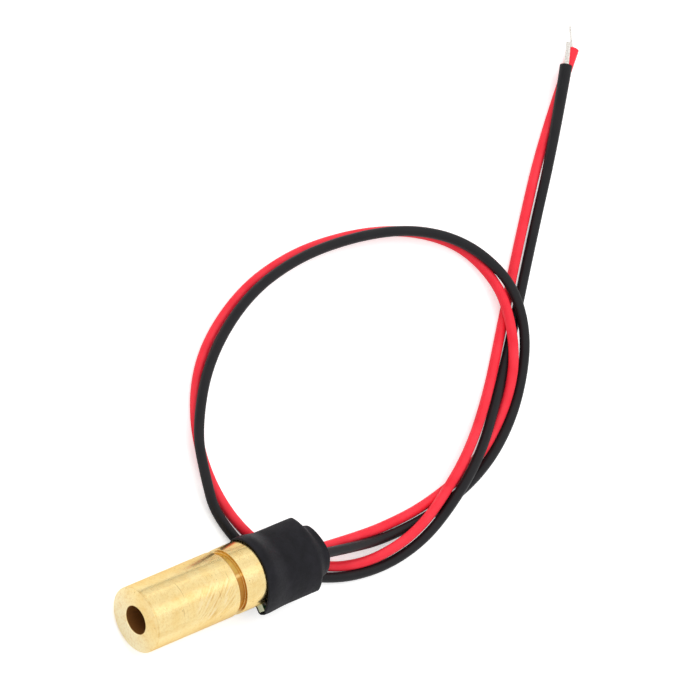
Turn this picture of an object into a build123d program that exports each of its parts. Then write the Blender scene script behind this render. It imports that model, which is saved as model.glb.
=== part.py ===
from build123d import *
from math import cos, pi, radians, sin, tan
import os

# Laser diode module: a turned brass barrel that holds a collimating lens, a spring and a canned
# laser diode, a small driver board soldered to the diode's pins, a heat-shrunk black sleeve over
# the board, and a red and a black lead that leave the sleeve's rear, make one loop, pass under the
# sleeve and run out to stripped ends.
# Millimetres. The origin is the centre of the barrel's front face, on the beam axis.
# -Y is the way the beam leaves, +Y runs to the rear, +Z is up.

# Barrel
BARREL_DIAMETER = 6.0
BARREL_LENGTH = 12.8
APERTURE_DIAMETER = 2.6
APERTURE_DEPTH = 3.0
BARREL_WALL = 0.75
GROOVE_POSITION = 9.35
GROOVE_WIDTH = 0.7
GROOVE_DEPTH = 0.3
EDGE_CHAMFER = 0.12
MOUTH_CHAMFER = 0.1

# Running and assembly clearances
FIT_CLEARANCE = 0.02
PIN_CLEARANCE = 0.02
SLEEVE_CLEARANCE = 0.02

# Collimating lens, flat in front and domed behind, against the shoulder of the aperture
LENS_RIM = 0.9
LENS_DOME_MARGIN = 0.2
LENS_DOME_HEIGHT = 0.6

# Spring between the lens and the diode holder
SPRING_WIRE = 0.3
SPRING_CLEARANCE = 0.15
SPRING_TURNS = 5
SPRING_WIRE_SIDES = 10

# Brass bush that carries the diode
HOLDER_LENGTH = 3.4
HOLDER_RECESS = 0.2
HOLDER_WALL = 0.31

# Laser diode can
STEM_THICKNESS = 1.0
STEM_LEDGE = 0.2
CAP_HEIGHT = 1.9
CAP_WALL = 0.15
CAP_BRIM_REACH = 0.2
CAP_BRIM_THICKNESS = 0.15
CAP_HOLE_DIAMETER = 1.4
WINDOW_THICKNESS = 0.25
PEDESTAL_WIDTH = 1.0
PEDESTAL_HEIGHT = 0.6
PEDESTAL_LENGTH = 1.2
CHIP_WIDTH = 0.25
CHIP_LENGTH = 0.35
CHIP_THICKNESS = 0.12
PHOTODIODE_SIZE = 0.5
PHOTODIODE_THICKNESS = 0.12
PHOTODIODE_OFFSET = 0.55
PIN_DIAMETER = 0.3
PIN_CIRCLE_SHARE = 0.3
PIN_LENGTH = 1.9
PIN_INNER_LENGTH = 0.4
SEAL_DIAMETER = 0.7

# Driver board, held between the diode's pins
BOARD_WIDTH = 6.34
BOARD_LENGTH = 5.68
BOARD_OFFSET = 0.45

# Parts on the board: places are from the middle of the board's front edge
TRANSISTOR_BODY = 1.25
TRANSISTOR_LENGTH = 2.1
TRANSISTOR_HEIGHT = 0.9
TRANSISTOR_STANDOFF = 0.05
LEG_REACH = 0.42
LEG_WIDTH = 0.3
LEG_THICKNESS = 0.12
LEG_PITCH = 0.65
LEG_HEIGHT = 0.4
DRIVE_TRANSISTOR_PLACE = (-1.8, 2.95)
SENSE_TRANSISTOR_PLACE = (1.6, 2.8)
CHIP_PART_LENGTH = 1.6
CHIP_PART_WIDTH = 0.8
RESISTOR_HEIGHT = 0.45
CAPACITOR_HEIGHT = 0.75
TERMINAL_LENGTH = 0.3
TERMINAL_THICKNESS = 0.02
LIMIT_RESISTOR_PLACE = (-1.85, 4.95)
BIAS_RESISTOR_PLACE = (-2.5, 1.1)
SENSE_RESISTOR_PLACE = (2.35, 0.9)
CAPACITOR_PLACE = (-0.1, 2.9)
SOLDER_RADIUS = 0.34
SOLDER_HALF_LENGTH = 0.6
SOLDER_MARGIN = 0.05
SOLDER_SKIN = 0.03

# Heat-shrunk sleeve
SLEEVE_WALL = 0.2
SLEEVE_OVERLAP = 0.53
SLEEVE_TAPER = 2.4
SLEEVE_STATIONS = 7
SLEEVE_MIDDLE_TOP = 2.5
SLEEVE_REAR_TOP = 2.1
SLEEVE_BOTTOM = 2.15
SLEEVE_SIDE_HEIGHT = 1.14
SLEEVE_GRIP_SIDE_HEIGHT = 0.4
SLEEVE_FRONT_SLACK = 0.12
SHOULDER_LENGTH = 0.68
NOZZLE_LENGTH = 0.75
NOZZLE_WIDTH = 4.46
NOZZLE_OFFSET = 0.48
NOZZLE_CROWN_OFFSET = 0.95
NOZZLE_TOP = 1.75
NOZZLE_BOTTOM = 2.15
NOZZLE_SIDE_HEIGHT = 0.5
NOZZLE_FLARE = 0.22
NOTCH_SLIT = 0.7
NOTCH_LIP = 0.49
NOTCH_STEP = 1.3
FOLD_CORNER = 0.3

# Corners of the sleeve's outline: how far the curve runs flat from its crown towards the flank,
# how far up the flank its second handle stands, and how far that handle leans in
ROUND_CORNER = (0.5523, 0.5523, 0.0)
FIRM_CORNER = (0.5523, 0.22, 0.0)
TAUT_CORNER = (0.45, 0.33, 0.22)
NOZZLE_CORNER = (0.42, 0.42, 0.0)

# Leads
LEAD_DIAMETER = 0.86
CONDUCTOR_DIAMETER = 0.42
STRAND_DIAMETER = 0.16
STRIPPED_LENGTH = 1.0
BLACK_PAD_PLACE = (0.95, 4.8)
RED_PAD_PLACE = (-0.05, 4.8)
TIP_LENGTH = 2.0
BEND_SHARE = 0.45

# Derived sizes that several pieces share
barrel_radius = BARREL_DIAMETER / 2
bore_radius = barrel_radius - BARREL_WALL
floor_z = -(barrel_radius + SLEEVE_CLEARANCE + SLEEVE_WALL)
lens_rear = APERTURE_DEPTH + LENS_RIM
holder_rear = BARREL_LENGTH - HOLDER_RECESS
holder_front = holder_rear - HOLDER_LENGTH
stem_front = holder_rear - STEM_THICKNESS
cap_front = stem_front - CAP_HEIGHT
stem_diameter = 2 * (bore_radius - HOLDER_WALL - 2 * FIT_CLEARANCE)
brim_diameter = stem_diameter - 2 * STEM_LEDGE
cap_diameter = brim_diameter - 2 * CAP_BRIM_REACH
pin_circle_radius = stem_diameter * PIN_CIRCLE_SHARE
board_thickness = pin_circle_radius - PIN_DIAMETER - 2 * PIN_CLEARANCE
board_front = BARREL_LENGTH
board_rear = board_front + BOARD_LENGTH
board_left = BOARD_OFFSET - BOARD_WIDTH / 2
board_right = BOARD_OFFSET + BOARD_WIDTH / 2
board_z = -pin_circle_radius / 2
board_top = board_z + board_thickness / 2
board_bottom = board_z - board_thickness / 2
lead_radius = LEAD_DIAMETER / 2
sleeve_front = BARREL_LENGTH - SLEEVE_OVERLAP
shoulder_start = board_rear + SLEEVE_CLEARANCE + SLEEVE_WALL
nozzle_start = shoulder_start + SHOULDER_LENGTH
sleeve_rear = nozzle_start + NOZZLE_LENGTH

# Routes of the two leads behind the sleeve: control points chosen by eye, not worked out.
# The low height rests a lead on the table, the high one lays it over another lead.
LOW = floor_z + lead_radius
HIGH = LOW + 0.98
RED_ROUTE = [
    (0.4, sleeve_rear, -1.47),
    (0.85, 25.0, -1.95),
    (1.05, 29.6, -2.76),
    (0.75, 34.6, LOW),
    (-0.85, 41.2, LOW),
    (-4.15, 46.2, LOW),
    (-7.9, 48.8, HIGH),
    (-12.6, 50.2, HIGH),
    (-15.9, 50.3, -2.5),
    (-19.5, 48.4, LOW),
    (-22.3, 43.9, LOW),
    (-23.8, 38.0, LOW),
    (-24.1, 31.2, LOW),
    (-22.6, 24.4, LOW),
    (-18.6, 18.0, LOW),
    (-12.6, 14.7, LOW),
    (-6.2, 14.5, LOW),
    (-0.9, 17.0, LOW),
    (2.3, 22.0, LOW),
    (3.3, 25.9, -2.5),
    (3.05, 29.5, HIGH),
    (2.2, 32.7, HIGH),
    (0.75, 35.7, HIGH),
    (-2.05, 40.3, HIGH),
    (-6.1, 45.3, LOW),
    (-11.7, 49.9, LOW),
    (-18.5, 55.6, LOW),
    (-25.5, 61.8, LOW),
    (-31.5, 68.4, LOW),
]
BLACK_ROUTE = [
    (1.0, sleeve_rear, 0.35),
    (1.6, 24.7, -1.3),
    (2.0, 29.0, -2.74),
    (1.75, 34.8, LOW),
    (0.1, 41.4, LOW),
    (-3.15, 46.6, LOW),
    (-7.6, 49.9, -2.0),
    (-11.3, 51.4, HIGH),
    (-15.1, 51.4, HIGH),
    (-19.3, 48.7, HIGH),
    (-22.1, 44.0, HIGH),
    (-23.4, 38.0, HIGH),
    (-23.6, 31.2, HIGH),
    (-22.1, 24.6, HIGH),
    (-18.2, 18.4, HIGH),
    (-12.9, 14.5, HIGH),
    (-9.2, 13.6, HIGH),
    (-5.4, 13.6, LOW),
    (0.2, 16.1, LOW),
    (3.4, 21.9, LOW),
    (4.3, 27.2, LOW),
    (3.65, 31.9, -2.1),
    (1.75, 36.2, HIGH),
    (-1.3, 41.2, HIGH),
    (-5.25, 45.8, LOW),
    (-10.8, 50.7, LOW),
    (-17.6, 56.4, LOW),
    (-24.6, 61.8, HIGH),
    (-30.4, 66.2, HIGH),
]


def turned(profile):
    """A solid of revolution about the beam axis, from (radius, y) points."""
    outline = Polyline(*[(r, y) for r, y in profile], close=True)
    return revolve(Plane.XY * make_face(outline), Axis.Y)


def rod(diameter, start, length, x=0.0, z=0.0):
    """A round bar along +Y, from y = start."""
    return Plane((x, start, z), z_dir=(0, 1, 0)) * extrude(Circle(diameter / 2), length)


def block(x_range, y_range, z_range):
    """A box between two limits on each axis."""
    size = [high - low for low, high in (x_range, y_range, z_range)]
    middle = [(high + low) / 2 for low, high in (x_range, y_range, z_range)]
    return Pos(*middle) * Box(*size)


def barrel():
    """Turned body: aperture, shouldered bore, chamfered ends and a groove near the rear."""
    groove_rear = GROOVE_POSITION + GROOVE_WIDTH
    groove_radius = barrel_radius - GROOVE_DEPTH
    aperture_radius = APERTURE_DIAMETER / 2
    return turned([
        (aperture_radius + MOUTH_CHAMFER, 0),
        (barrel_radius - EDGE_CHAMFER, 0),
        (barrel_radius, EDGE_CHAMFER),
        (barrel_radius, GROOVE_POSITION),
        (groove_radius, GROOVE_POSITION),
        (groove_radius, groove_rear),
        (barrel_radius, groove_rear),
        (barrel_radius, BARREL_LENGTH),
        (bore_radius, BARREL_LENGTH),
        (bore_radius, APERTURE_DEPTH),
        (aperture_radius, APERTURE_DEPTH),
        (aperture_radius, MOUTH_CHAMFER),
    ])


def collimating_lens():
    """Lens with a flat front and a spherical dome inside the spring."""
    rim_radius = bore_radius - FIT_CLEARANCE
    dome_radius = bore_radius - SPRING_CLEARANCE - SPRING_WIRE - LENS_DOME_MARGIN
    apex = (0, lens_rear + LENS_DOME_HEIGHT)
    sphere_radius = (dome_radius**2 + LENS_DOME_HEIGHT**2) / (2 * LENS_DOME_HEIGHT)
    mid_x = dome_radius / 2
    mid_y = apex[1] - sphere_radius + (sphere_radius**2 - mid_x**2) ** 0.5
    outline = [
        Line((0, APERTURE_DEPTH), (rim_radius, APERTURE_DEPTH)),
        Line((rim_radius, APERTURE_DEPTH), (rim_radius, lens_rear)),
        Line((rim_radius, lens_rear), (dome_radius, lens_rear)),
        ThreePointArc((dome_radius, lens_rear), (mid_x, mid_y), apex),
        Line(apex, (0, APERTURE_DEPTH)),
    ]
    return revolve(make_face(Curve() + outline), Axis.Y)


def lens_spring():
    """Open coil spring that presses the lens on its shoulder."""
    start = lens_rear + SPRING_WIRE / 2
    length = holder_front - lens_rear - SPRING_WIRE
    coil_radius = bore_radius - SPRING_CLEARANCE - SPRING_WIRE / 2
    path = Helix(length / SPRING_TURNS, length, coil_radius)
    section = RegularPolygon(SPRING_WIRE / 2, SPRING_WIRE_SIDES)
    coil = sweep(Plane(path @ 0, z_dir=path % 0) * section, path=path, is_frenet=True)
    return Pos(0, start, 0) * Rot(-90, 0, 0) * coil


def diode_holder():
    """Bush with a clear bore for the can and a counterbore for its stem."""
    outer = bore_radius - FIT_CLEARANCE
    can_bore = brim_diameter / 2 + FIT_CLEARANCE
    stem_bore = stem_diameter / 2 + FIT_CLEARANCE
    return turned([
        (can_bore, holder_front),
        (outer, holder_front),
        (outer, holder_rear),
        (stem_bore, holder_rear),
        (stem_bore, stem_front),
        (can_bore, stem_front),
    ])


def diode_stem():
    """Disc with two sealed pin holes and the pedestal that the chip sits on."""
    disc = rod(stem_diameter, stem_front, STEM_THICKNESS)
    for side in (-1, 1):
        disc -= rod(SEAL_DIAMETER, stem_front, STEM_THICKNESS, x=side * pin_circle_radius)
    pedestal_top = -CHIP_THICKNESS / 2
    pedestal = block(
        (-PEDESTAL_WIDTH / 2, PEDESTAL_WIDTH / 2),
        (stem_front - PEDESTAL_LENGTH, stem_front),
        (pedestal_top - PEDESTAL_HEIGHT, pedestal_top),
    )
    return disc + pedestal


def diode_cap():
    """Thin drawn cap with a brim and a round hole in front."""
    outer = cap_diameter / 2
    inner = outer - CAP_WALL
    brim = brim_diameter / 2
    return turned([
        (CAP_HOLE_DIAMETER / 2, cap_front),
        (outer, cap_front),
        (outer, stem_front - CAP_BRIM_THICKNESS),
        (brim, stem_front - CAP_BRIM_THICKNESS),
        (brim, stem_front),
        (inner, stem_front),
        (inner, cap_front + CAP_WALL),
        (CAP_HOLE_DIAMETER / 2, cap_front + CAP_WALL),
    ])


def diode_window():
    """Glass disc behind the hole of the cap."""
    diameter = cap_diameter - 2 * CAP_WALL - 2 * FIT_CLEARANCE
    return rod(diameter, cap_front + CAP_WALL, WINDOW_THICKNESS)


def laser_chip():
    """Laser die at the front edge of the pedestal, on the beam axis."""
    front = stem_front - PEDESTAL_LENGTH
    half = CHIP_THICKNESS / 2
    return block((-CHIP_WIDTH / 2, CHIP_WIDTH / 2), (front, front + CHIP_LENGTH), (-half, half))


def monitor_photodiode():
    """Photodiode die on the face of the stem, behind the laser die."""
    half = PHOTODIODE_SIZE / 2
    return block(
        (-half, half),
        (stem_front - PHOTODIODE_THICKNESS, stem_front),
        (PHOTODIODE_OFFSET - half, PHOTODIODE_OFFSET + half),
    )


def through_pin(side):
    """Pin that passes its glass seal and lies on top of the board."""
    start = stem_front - PIN_INNER_LENGTH
    length = PIN_INNER_LENGTH + STEM_THICKNESS + PIN_LENGTH
    return rod(PIN_DIAMETER, start, length, x=side * pin_circle_radius)


def common_pin():
    """Pin welded to the back of the stem, under the board."""
    return rod(PIN_DIAMETER, holder_rear, PIN_LENGTH, z=-pin_circle_radius)


def pin_seal(side):
    """Glass ring between a through pin and the stem."""
    ring = rod(SEAL_DIAMETER, stem_front, STEM_THICKNESS, x=side * pin_circle_radius)
    return ring - rod(PIN_DIAMETER, stem_front, STEM_THICKNESS, x=side * pin_circle_radius)


def circuit_board():
    """Plain board that butts against the barrel's rear face."""
    return block((board_left, board_right), (board_front, board_rear), (board_bottom, board_top))


def on_board(place):
    """World x and y of a place on the board."""
    return BOARD_OFFSET + place[0], board_front + place[1]


def transistor_body(place):
    """Moulded body of a three-legged surface transistor."""
    x, y = on_board(place)
    base = board_top + TRANSISTOR_STANDOFF
    body = block(
        (x - TRANSISTOR_BODY / 2, x + TRANSISTOR_BODY / 2),
        (y - TRANSISTOR_LENGTH / 2, y + TRANSISTOR_LENGTH / 2),
        (base, base + TRANSISTOR_HEIGHT),
    )
    return chamfer(body.faces().sort_by(Axis.Z)[-1].edges(), TRANSISTOR_STANDOFF)


def transistor_legs(place):
    """Two legs on one side and one on the other, each bent down to the board."""
    x, y = on_board(place)
    legs = []
    for side, offset in ((-1, -LEG_PITCH), (-1, LEG_PITCH), (1, 0)):
        inner = TRANSISTOR_BODY / 2
        outer = inner + LEG_REACH
        knee = inner + LEG_THICKNESS
        outline = Polyline(
            (inner, LEG_HEIGHT),
            (inner, LEG_HEIGHT - LEG_THICKNESS),
            (knee - LEG_THICKNESS / 2, LEG_HEIGHT - LEG_THICKNESS),
            (knee - LEG_THICKNESS / 2, 0),
            (outer, 0),
            (outer, LEG_THICKNESS),
            (knee + LEG_THICKNESS / 2, LEG_THICKNESS),
            (knee + LEG_THICKNESS / 2, LEG_HEIGHT),
            close=True,
        )
        leg = extrude(Plane.XZ * make_face(outline), LEG_WIDTH / 2, both=True)
        turn = 0 if side > 0 else 180
        legs.append(Pos(x, y + offset, board_top) * Rot(0, 0, turn) * leg)
    return Compound(legs)


def chip_part(place, height, along_x):
    """Chip resistor or capacitor with a raised terminal at each end."""
    x, y = on_board(place)
    core = Pos(0, 0, height / 2) * Box(CHIP_PART_LENGTH, CHIP_PART_WIDTH, height - 2 * TERMINAL_THICKNESS)
    for side in (-1, 1):
        end = side * (CHIP_PART_LENGTH - TERMINAL_LENGTH) / 2
        core += Pos(end, 0, height / 2) * Box(TERMINAL_LENGTH, CHIP_PART_WIDTH, height)
    return Pos(x, y, board_top) * Rot(0, 0, 0 if along_x else 90) * core


def solder_bead(x, z, y, above, wire_diameter):
    """Barrel-shaped bead of solder round a wire along Y, cut off at the board's face."""
    half = SOLDER_HALF_LENGTH
    end_radius = wire_diameter / 2 + SOLDER_SKIN
    arc = ThreePointArc((end_radius, -half), (SOLDER_RADIUS, 0), (end_radius, half))
    back = Polyline((end_radius, half), (0, half), (0, -half), (end_radius, -half))
    bead = revolve(make_face(arc + back), Axis.Y)
    bead = Pos(x, y, z) * bead
    far = 4 * SOLDER_RADIUS
    limits = (board_top, board_top + far) if above else (board_bottom - far, board_bottom)
    keep = block((x - far, x + far), (y - 2, y + 2), limits)
    return bead & keep


def pin_solder_joints(pins):
    """Solder that ties the three pins to the board's pads."""
    y = holder_rear + PIN_LENGTH - SOLDER_HALF_LENGTH
    radius = pin_circle_radius
    beads = [solder_bead(side * radius, 0, y, True, PIN_DIAMETER) for side in (-1, 1)]
    beads.append(solder_bead(0, -radius, y, False, PIN_DIAMETER))
    return Compound([bead - pin for bead, pin in zip(beads, pins)])


def lead_start(place, above):
    """Centre of a lead's bare end on its pad, and of its insulation where it starts."""
    x, y = on_board(place)
    side = 1 if above else -1
    face = board_top if above else board_bottom
    bare = (x, y - STRIPPED_LENGTH / 2, face + side * CONDUCTOR_DIAMETER / 2)
    step = (x, y + STRIPPED_LENGTH / 2, face + side * lead_radius)
    return bare, step


def bent_wire(start, start_heading, end, end_heading, diameter):
    """Round wire that leaves one point and reaches another in given directions."""
    line = Spline(start, end, tangents=[start_heading, end_heading])
    return sweep(Plane(line @ 0, z_dir=line % 0) * Circle(diameter / 2), path=line)


def lead_root(place, above, route):
    """Insulated stretch of a lead inside the sleeve, from its pad to the sleeve's mouth."""
    start = lead_start(place, above)[1]
    heading = Vector(*route[1]) - Vector(*route[0])
    return bent_wire(start, Vector(0, 1, 0), route[0], heading.normalized(), LEAD_DIAMETER)


def lead_core(place, above):
    """Stripped and tinned end of a lead on its pad."""
    start, step = lead_start(place, above)
    return rod(CONDUCTOR_DIAMETER, start[1], STRIPPED_LENGTH, x=start[0], z=start[2])


def lead_solder_joints(cores):
    """Solder that ties the two bare lead ends to the board's pads."""
    beads = []
    for place, above, core in zip((BLACK_PAD_PLACE, RED_PAD_PLACE), (True, False), cores):
        start = lead_start(place, above)[0]
        centre = start[1] + STRIPPED_LENGTH - SOLDER_MARGIN - SOLDER_HALF_LENGTH
        bead = solder_bead(start[0], start[2], centre, above, CONDUCTOR_DIAMETER)
        beads.append(bead - core)
    return Compound(beads)


def smooth(share):
    """Ease from 0 to 1."""
    share = min(max(share, 0), 1)
    return share * share * (3 - 2 * share)


def blend(start, end, share):
    """Value between two others."""
    return start + (end - start) * share


def corner_blend(start, end, share):
    """Corner between two others."""
    return tuple(blend(low, high, share) for low, high in zip(start, end))


def sleeve_section(y, left, right, crown_x, top, bottom):
    """Closed outline of the sleeve at one y: two flanks joined by a top and a bottom curve.

    A flank is its x, the middle and the height of its flat, its upper and its lower corner.
    """

    def quarter(flank, upper):
        x, middle, height, corner_above, corner_below = flank
        crown = top if upper else bottom
        edge = middle + height / 2 if upper else middle - height / 2
        shoulder_share, waist_share, lean = corner_above if upper else corner_below
        shoulder = (blend(crown_x, x, shoulder_share), crown)
        waist = (blend(x, crown_x, lean), blend(edge, crown, waist_share))
        return Bezier((crown_x, crown), shoulder, waist, (x, edge))

    curves = [quarter(left, True), quarter(left, False), quarter(right, False), quarter(right, True)]
    flats = [Line(curves[0] @ 1, curves[1] @ 1), Line(curves[2] @ 1, curves[3] @ 1)]
    face = make_face(Curve() + curves + flats)
    return Plane((0, y, 0), x_dir=(1, 0, 0), z_dir=(0, -1, 0)) * face


def sleeve_body_section(y, inset):
    """Outline over the barrel and the board, drawn in by the inset."""
    share = smooth((y - BARREL_LENGTH) / SLEEVE_TAPER)
    fall = (y - BARREL_LENGTH) / (shoulder_start - BARREL_LENGTH)
    margin = SLEEVE_CLEARANCE + SLEEVE_WALL
    left_x = -blend(barrel_radius, max(-board_left, 0), share) - margin
    right_x = board_right + margin + SLEEVE_FRONT_SLACK * (1 - share)
    top = blend(barrel_radius + margin, blend(SLEEVE_MIDDLE_TOP, SLEEVE_REAR_TOP, fall), share)
    bottom = -blend(barrel_radius + margin, SLEEVE_BOTTOM, share)
    left_height = blend(SLEEVE_GRIP_SIDE_HEIGHT, SLEEVE_SIDE_HEIGHT, share) - inset
    left_corner = corner_blend(ROUND_CORNER, FIRM_CORNER, share)
    left = (left_x + inset, board_z * share, left_height, left_corner, left_corner)
    right = (right_x - inset, board_z, SLEEVE_SIDE_HEIGHT - inset, FIRM_CORNER, TAUT_CORNER)
    return sleeve_section(y, left, right, NOZZLE_OFFSET * share, top - inset, bottom + inset)


def sleeve_nozzle_section(y, inset, flare):
    """Outline of the narrow mouth that the leads leave by."""
    half = NOZZLE_WIDTH / 2 - inset + flare
    middle = (NOZZLE_TOP - NOZZLE_BOTTOM) / 2
    flat = (middle, NOZZLE_SIDE_HEIGHT - inset, NOZZLE_CORNER, ROUND_CORNER)
    left = (NOZZLE_OFFSET - half, *flat)
    right = (NOZZLE_OFFSET + half, *flat)
    top = NOZZLE_TOP - inset
    return sleeve_section(y, left, right, NOZZLE_CROWN_OFFSET, top, -NOZZLE_BOTTOM + inset)


def sleeve_solid(inset, front, body_end, neck, rear):
    """One skin of the sleeve: straight grip, taper, body, shoulder and nozzle."""
    steps = [share / SLEEVE_STATIONS for share in range(SLEEVE_STATIONS + 1)]
    stations = [front] + [BARREL_LENGTH + SLEEVE_TAPER * step for step in steps] + [body_end]
    sections = [sleeve_body_section(y, inset) for y in stations]
    sections.append(sleeve_nozzle_section(neck, inset, NOZZLE_FLARE))
    sections.append(sleeve_nozzle_section(rear, inset, 0))
    return loft(sections, ruled=True)


def sleeve_notch(reach):
    """What the torn front edge leaves open beside the barrel, so that the board's corner shows."""
    lip_z = board_bottom - SLEEVE_CLEARANCE - SLEEVE_WALL
    outline = Polyline(
        (sleeve_front - SLEEVE_WALL, board_top),
        (sleeve_front, board_top),
        (sleeve_front + NOTCH_SLIT, board_z),
        (sleeve_front + NOTCH_SLIT, board_bottom),
        (sleeve_front + NOTCH_LIP, board_bottom),
        (sleeve_front + NOTCH_LIP, lip_z),
        (sleeve_front + NOTCH_STEP, lip_z),
        (sleeve_front + NOTCH_STEP, floor_z),
        (sleeve_front - SLEEVE_WALL, floor_z),
        close=True,
    )
    return extrude(Plane.YZ.offset(barrel_radius) * make_face(outline), reach - barrel_radius)


def sleeve_fold(reach):
    """The front edge folded under the board's corner."""
    fold = block(
        (barrel_radius + SLEEVE_CLEARANCE, reach),
        (sleeve_front + NOTCH_LIP, sleeve_front + NOTCH_STEP + SLEEVE_WALL),
        (board_bottom - SLEEVE_CLEARANCE - SLEEVE_WALL, board_bottom - SLEEVE_CLEARANCE),
    )
    return chamfer(fold.edges().filter_by(Axis.Z).sort_by(Axis.X)[-2:].sort_by(Axis.Y)[0], FOLD_CORNER)


def sleeve():
    """Shrunk tube: grips the barrel, settles on the board and closes in round the leads."""
    outer = sleeve_solid(0, sleeve_front, shoulder_start, nozzle_start, sleeve_rear)
    overshoot = SLEEVE_WALL
    inner = sleeve_solid(
        SLEEVE_WALL,
        sleeve_front - overshoot,
        shoulder_start - SLEEVE_WALL,
        nozzle_start - SLEEVE_WALL / 2,
        sleeve_rear + overshoot,
    )
    reach = board_right + SLEEVE_CLEARANCE + SLEEVE_WALL + SLEEVE_FRONT_SLACK / 2
    return outer - inner - sleeve_notch(reach + SLEEVE_WALL) + sleeve_fold(reach)


def lead_tube(name, route):
    """A lead along its route: straight runs joined by arcs as large as the runs allow."""
    points = [Vector(*point) for point in route]
    runs = [(points[i + 1] - points[i]) for i in range(len(points) - 1)]
    radii = []
    for before, after in zip(runs, runs[1:]):
        half_turn = radians(before.get_angle(after)) / 2
        radii.append(BEND_SHARE * min(before.length, after.length) / tan(half_turn))
    path = FilletPolyline(*points, radius=radii)
    tube = sweep(Plane(path @ 0, z_dir=path % 0) * Circle(lead_radius), path=path)
    expected = pi * lead_radius**2 * path.length
    print(name, "length", round(path.length, 1), "volume ratio", round(tube.volume / expected, 4))
    print(name, "smallest bend radius", round(min(radii), 1), "radii", [round(r, 1) for r in radii])
    return tube


def lead_tip(route, diameter, length, lean):
    """Bare wire that stands out of a lead's cut end and leans sideways a little."""
    end = Vector(*route[-1])
    heading = (end - Vector(*route[-2])).normalized()
    final = heading.rotate(Axis.Z, lean)
    middle = (heading + final).normalized()
    return bent_wire(end, heading, end + middle * length, final, diameter)


laser_pins = [through_pin(-1), through_pin(1), common_pin()]
black_core = lead_core(BLACK_PAD_PLACE, True)
red_core = lead_core(RED_PAD_PLACE, False)

nodes = {
    "barrel": barrel(),
    "collimating_lens": collimating_lens(),
    "lens_spring": lens_spring(),
    "diode_holder": diode_holder(),
    "diode_stem": diode_stem(),
    "diode_cap": diode_cap(),
    "diode_window": diode_window(),
    "laser_chip": laser_chip(),
    "monitor_photodiode": monitor_photodiode(),
    "monitor_pin": laser_pins[0],
    "laser_pin": laser_pins[1],
    "common_pin": laser_pins[2],
    "monitor_pin_seal": pin_seal(-1),
    "laser_pin_seal": pin_seal(1),
    "circuit_board": circuit_board(),
    "drive_transistor": transistor_body(DRIVE_TRANSISTOR_PLACE),
    "drive_transistor_legs": transistor_legs(DRIVE_TRANSISTOR_PLACE),
    "sense_transistor": transistor_body(SENSE_TRANSISTOR_PLACE),
    "sense_transistor_legs": transistor_legs(SENSE_TRANSISTOR_PLACE),
    "limit_resistor": chip_part(LIMIT_RESISTOR_PLACE, RESISTOR_HEIGHT, True),
    "bias_resistor": chip_part(BIAS_RESISTOR_PLACE, RESISTOR_HEIGHT, False),
    "sense_resistor": chip_part(SENSE_RESISTOR_PLACE, RESISTOR_HEIGHT, False),
    "filter_capacitor": chip_part(CAPACITOR_PLACE, CAPACITOR_HEIGHT, False),
    "pin_solder_joints": pin_solder_joints(laser_pins),
    "black_lead_core": black_core,
    "red_lead_core": red_core,
    "lead_solder_joints": lead_solder_joints([black_core, red_core]),
    "black_lead_root": lead_root(BLACK_PAD_PLACE, True, BLACK_ROUTE),
    "red_lead_root": lead_root(RED_PAD_PLACE, False, RED_ROUTE),
    "sleeve": sleeve(),
    "red_lead": lead_tube("red lead", RED_ROUTE),
    "black_lead": lead_tube("black lead", BLACK_ROUTE),
    "black_lead_tip": lead_tip(BLACK_ROUTE, CONDUCTOR_DIAMETER, TIP_LENGTH, 5),
    "red_lead_strand": lead_tip(RED_ROUTE, STRAND_DIAMETER, TIP_LENGTH, 30),
}

os.makedirs("parts", exist_ok=True)
for name, shape in nodes.items():
    export_step(shape, f"parts/{name}.step")
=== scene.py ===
from math import cos, pi, radians, sin

import bmesh
import bpy
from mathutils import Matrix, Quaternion, Vector, noise


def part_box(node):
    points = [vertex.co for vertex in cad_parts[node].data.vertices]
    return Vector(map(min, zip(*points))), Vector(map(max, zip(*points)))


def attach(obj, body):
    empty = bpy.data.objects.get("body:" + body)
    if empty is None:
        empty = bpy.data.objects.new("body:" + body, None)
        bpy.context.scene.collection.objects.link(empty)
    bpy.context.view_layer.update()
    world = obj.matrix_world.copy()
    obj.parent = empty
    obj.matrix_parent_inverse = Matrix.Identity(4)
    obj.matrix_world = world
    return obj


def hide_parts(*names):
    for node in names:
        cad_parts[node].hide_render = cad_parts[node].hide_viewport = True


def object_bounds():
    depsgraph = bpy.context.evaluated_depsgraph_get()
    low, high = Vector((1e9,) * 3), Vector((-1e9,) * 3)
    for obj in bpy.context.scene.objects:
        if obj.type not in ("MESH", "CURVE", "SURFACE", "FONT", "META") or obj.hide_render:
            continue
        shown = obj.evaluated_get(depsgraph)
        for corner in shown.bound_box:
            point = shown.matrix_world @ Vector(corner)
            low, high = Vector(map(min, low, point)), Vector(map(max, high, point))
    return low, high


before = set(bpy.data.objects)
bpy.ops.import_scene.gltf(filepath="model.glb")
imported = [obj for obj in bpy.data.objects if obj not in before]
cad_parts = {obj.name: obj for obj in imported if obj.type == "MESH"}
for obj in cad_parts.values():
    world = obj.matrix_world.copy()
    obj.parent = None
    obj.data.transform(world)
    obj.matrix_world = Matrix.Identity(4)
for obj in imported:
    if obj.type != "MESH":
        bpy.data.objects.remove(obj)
CAD_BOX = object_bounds()

# Everything is in metres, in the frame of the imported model; MM turns millimetres into metres.
MM = 0.001

# Camera: where it looks, how far away it stands, how far it looks down, how far it is rolled
CAMERA_TARGET = Vector((-0.014365, 0.033392, -0.00276))
CAMERA_DISTANCE = 1.0
CAMERA_ELEVATION = radians(55.2)
CAMERA_ROLL = radians(67.5)
CAMERA_LENS = 587.4
CAMERA_SENSOR = 36
CAMERA_NEAR = 0.05
CAMERA_FAR = 20

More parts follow.
